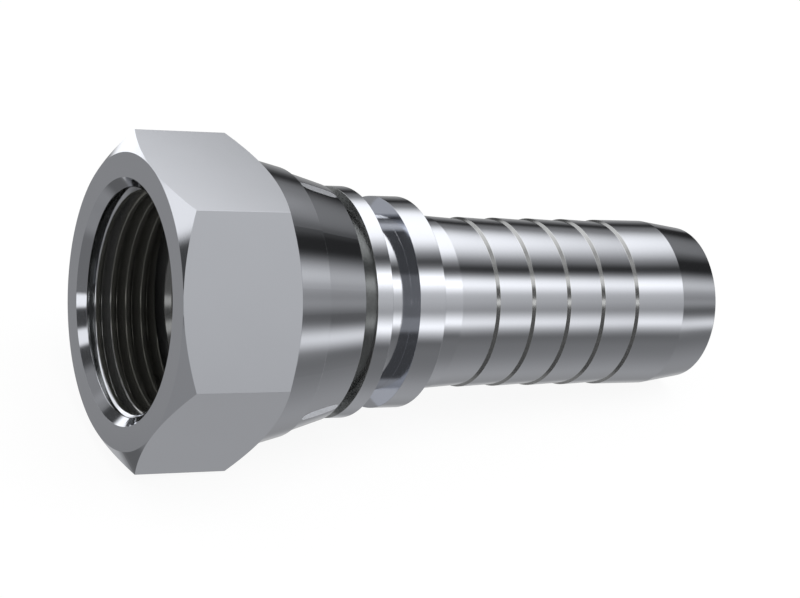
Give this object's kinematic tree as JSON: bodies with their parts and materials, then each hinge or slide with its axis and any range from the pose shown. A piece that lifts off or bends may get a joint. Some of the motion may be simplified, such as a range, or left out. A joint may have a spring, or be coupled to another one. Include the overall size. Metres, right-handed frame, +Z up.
{
  "type": "press coupling",
  "caption": "Hydraulic hose press coupling: barbed hose nipple with collars and a ferrule groove, and a free-turning hexagonal swivel nut with internal pipe thread.",
  "frame": {"origin": "centre of the nut's front face, where the male stud enters", "axes": "+X along the common axis towards the hose tail's tip, +Z up with two of the nut's flats level"},
  "size_m": [0.0722, 0.037, 0.032],
  "materials": {
    "nut_steel": "bright zinc plating, satin on the hexagon's flats and polished on the turned skirt",
    "nipple_steel": "bright zinc plating over fine turning marks"
  },
  "bodies": {
    "nipple": {"hose_nipple": "nipple_steel"},
    "nut": {"swivel_nut": "nut_steel"}
  },
  "joints": [
    {"name": "nut_swivel", "type": "hinge", "parent": "nipple", "child": "nut", "pos_m": [0, 0, 0], "axis": [1, 0, 0], "continuous": true}
  ]
}
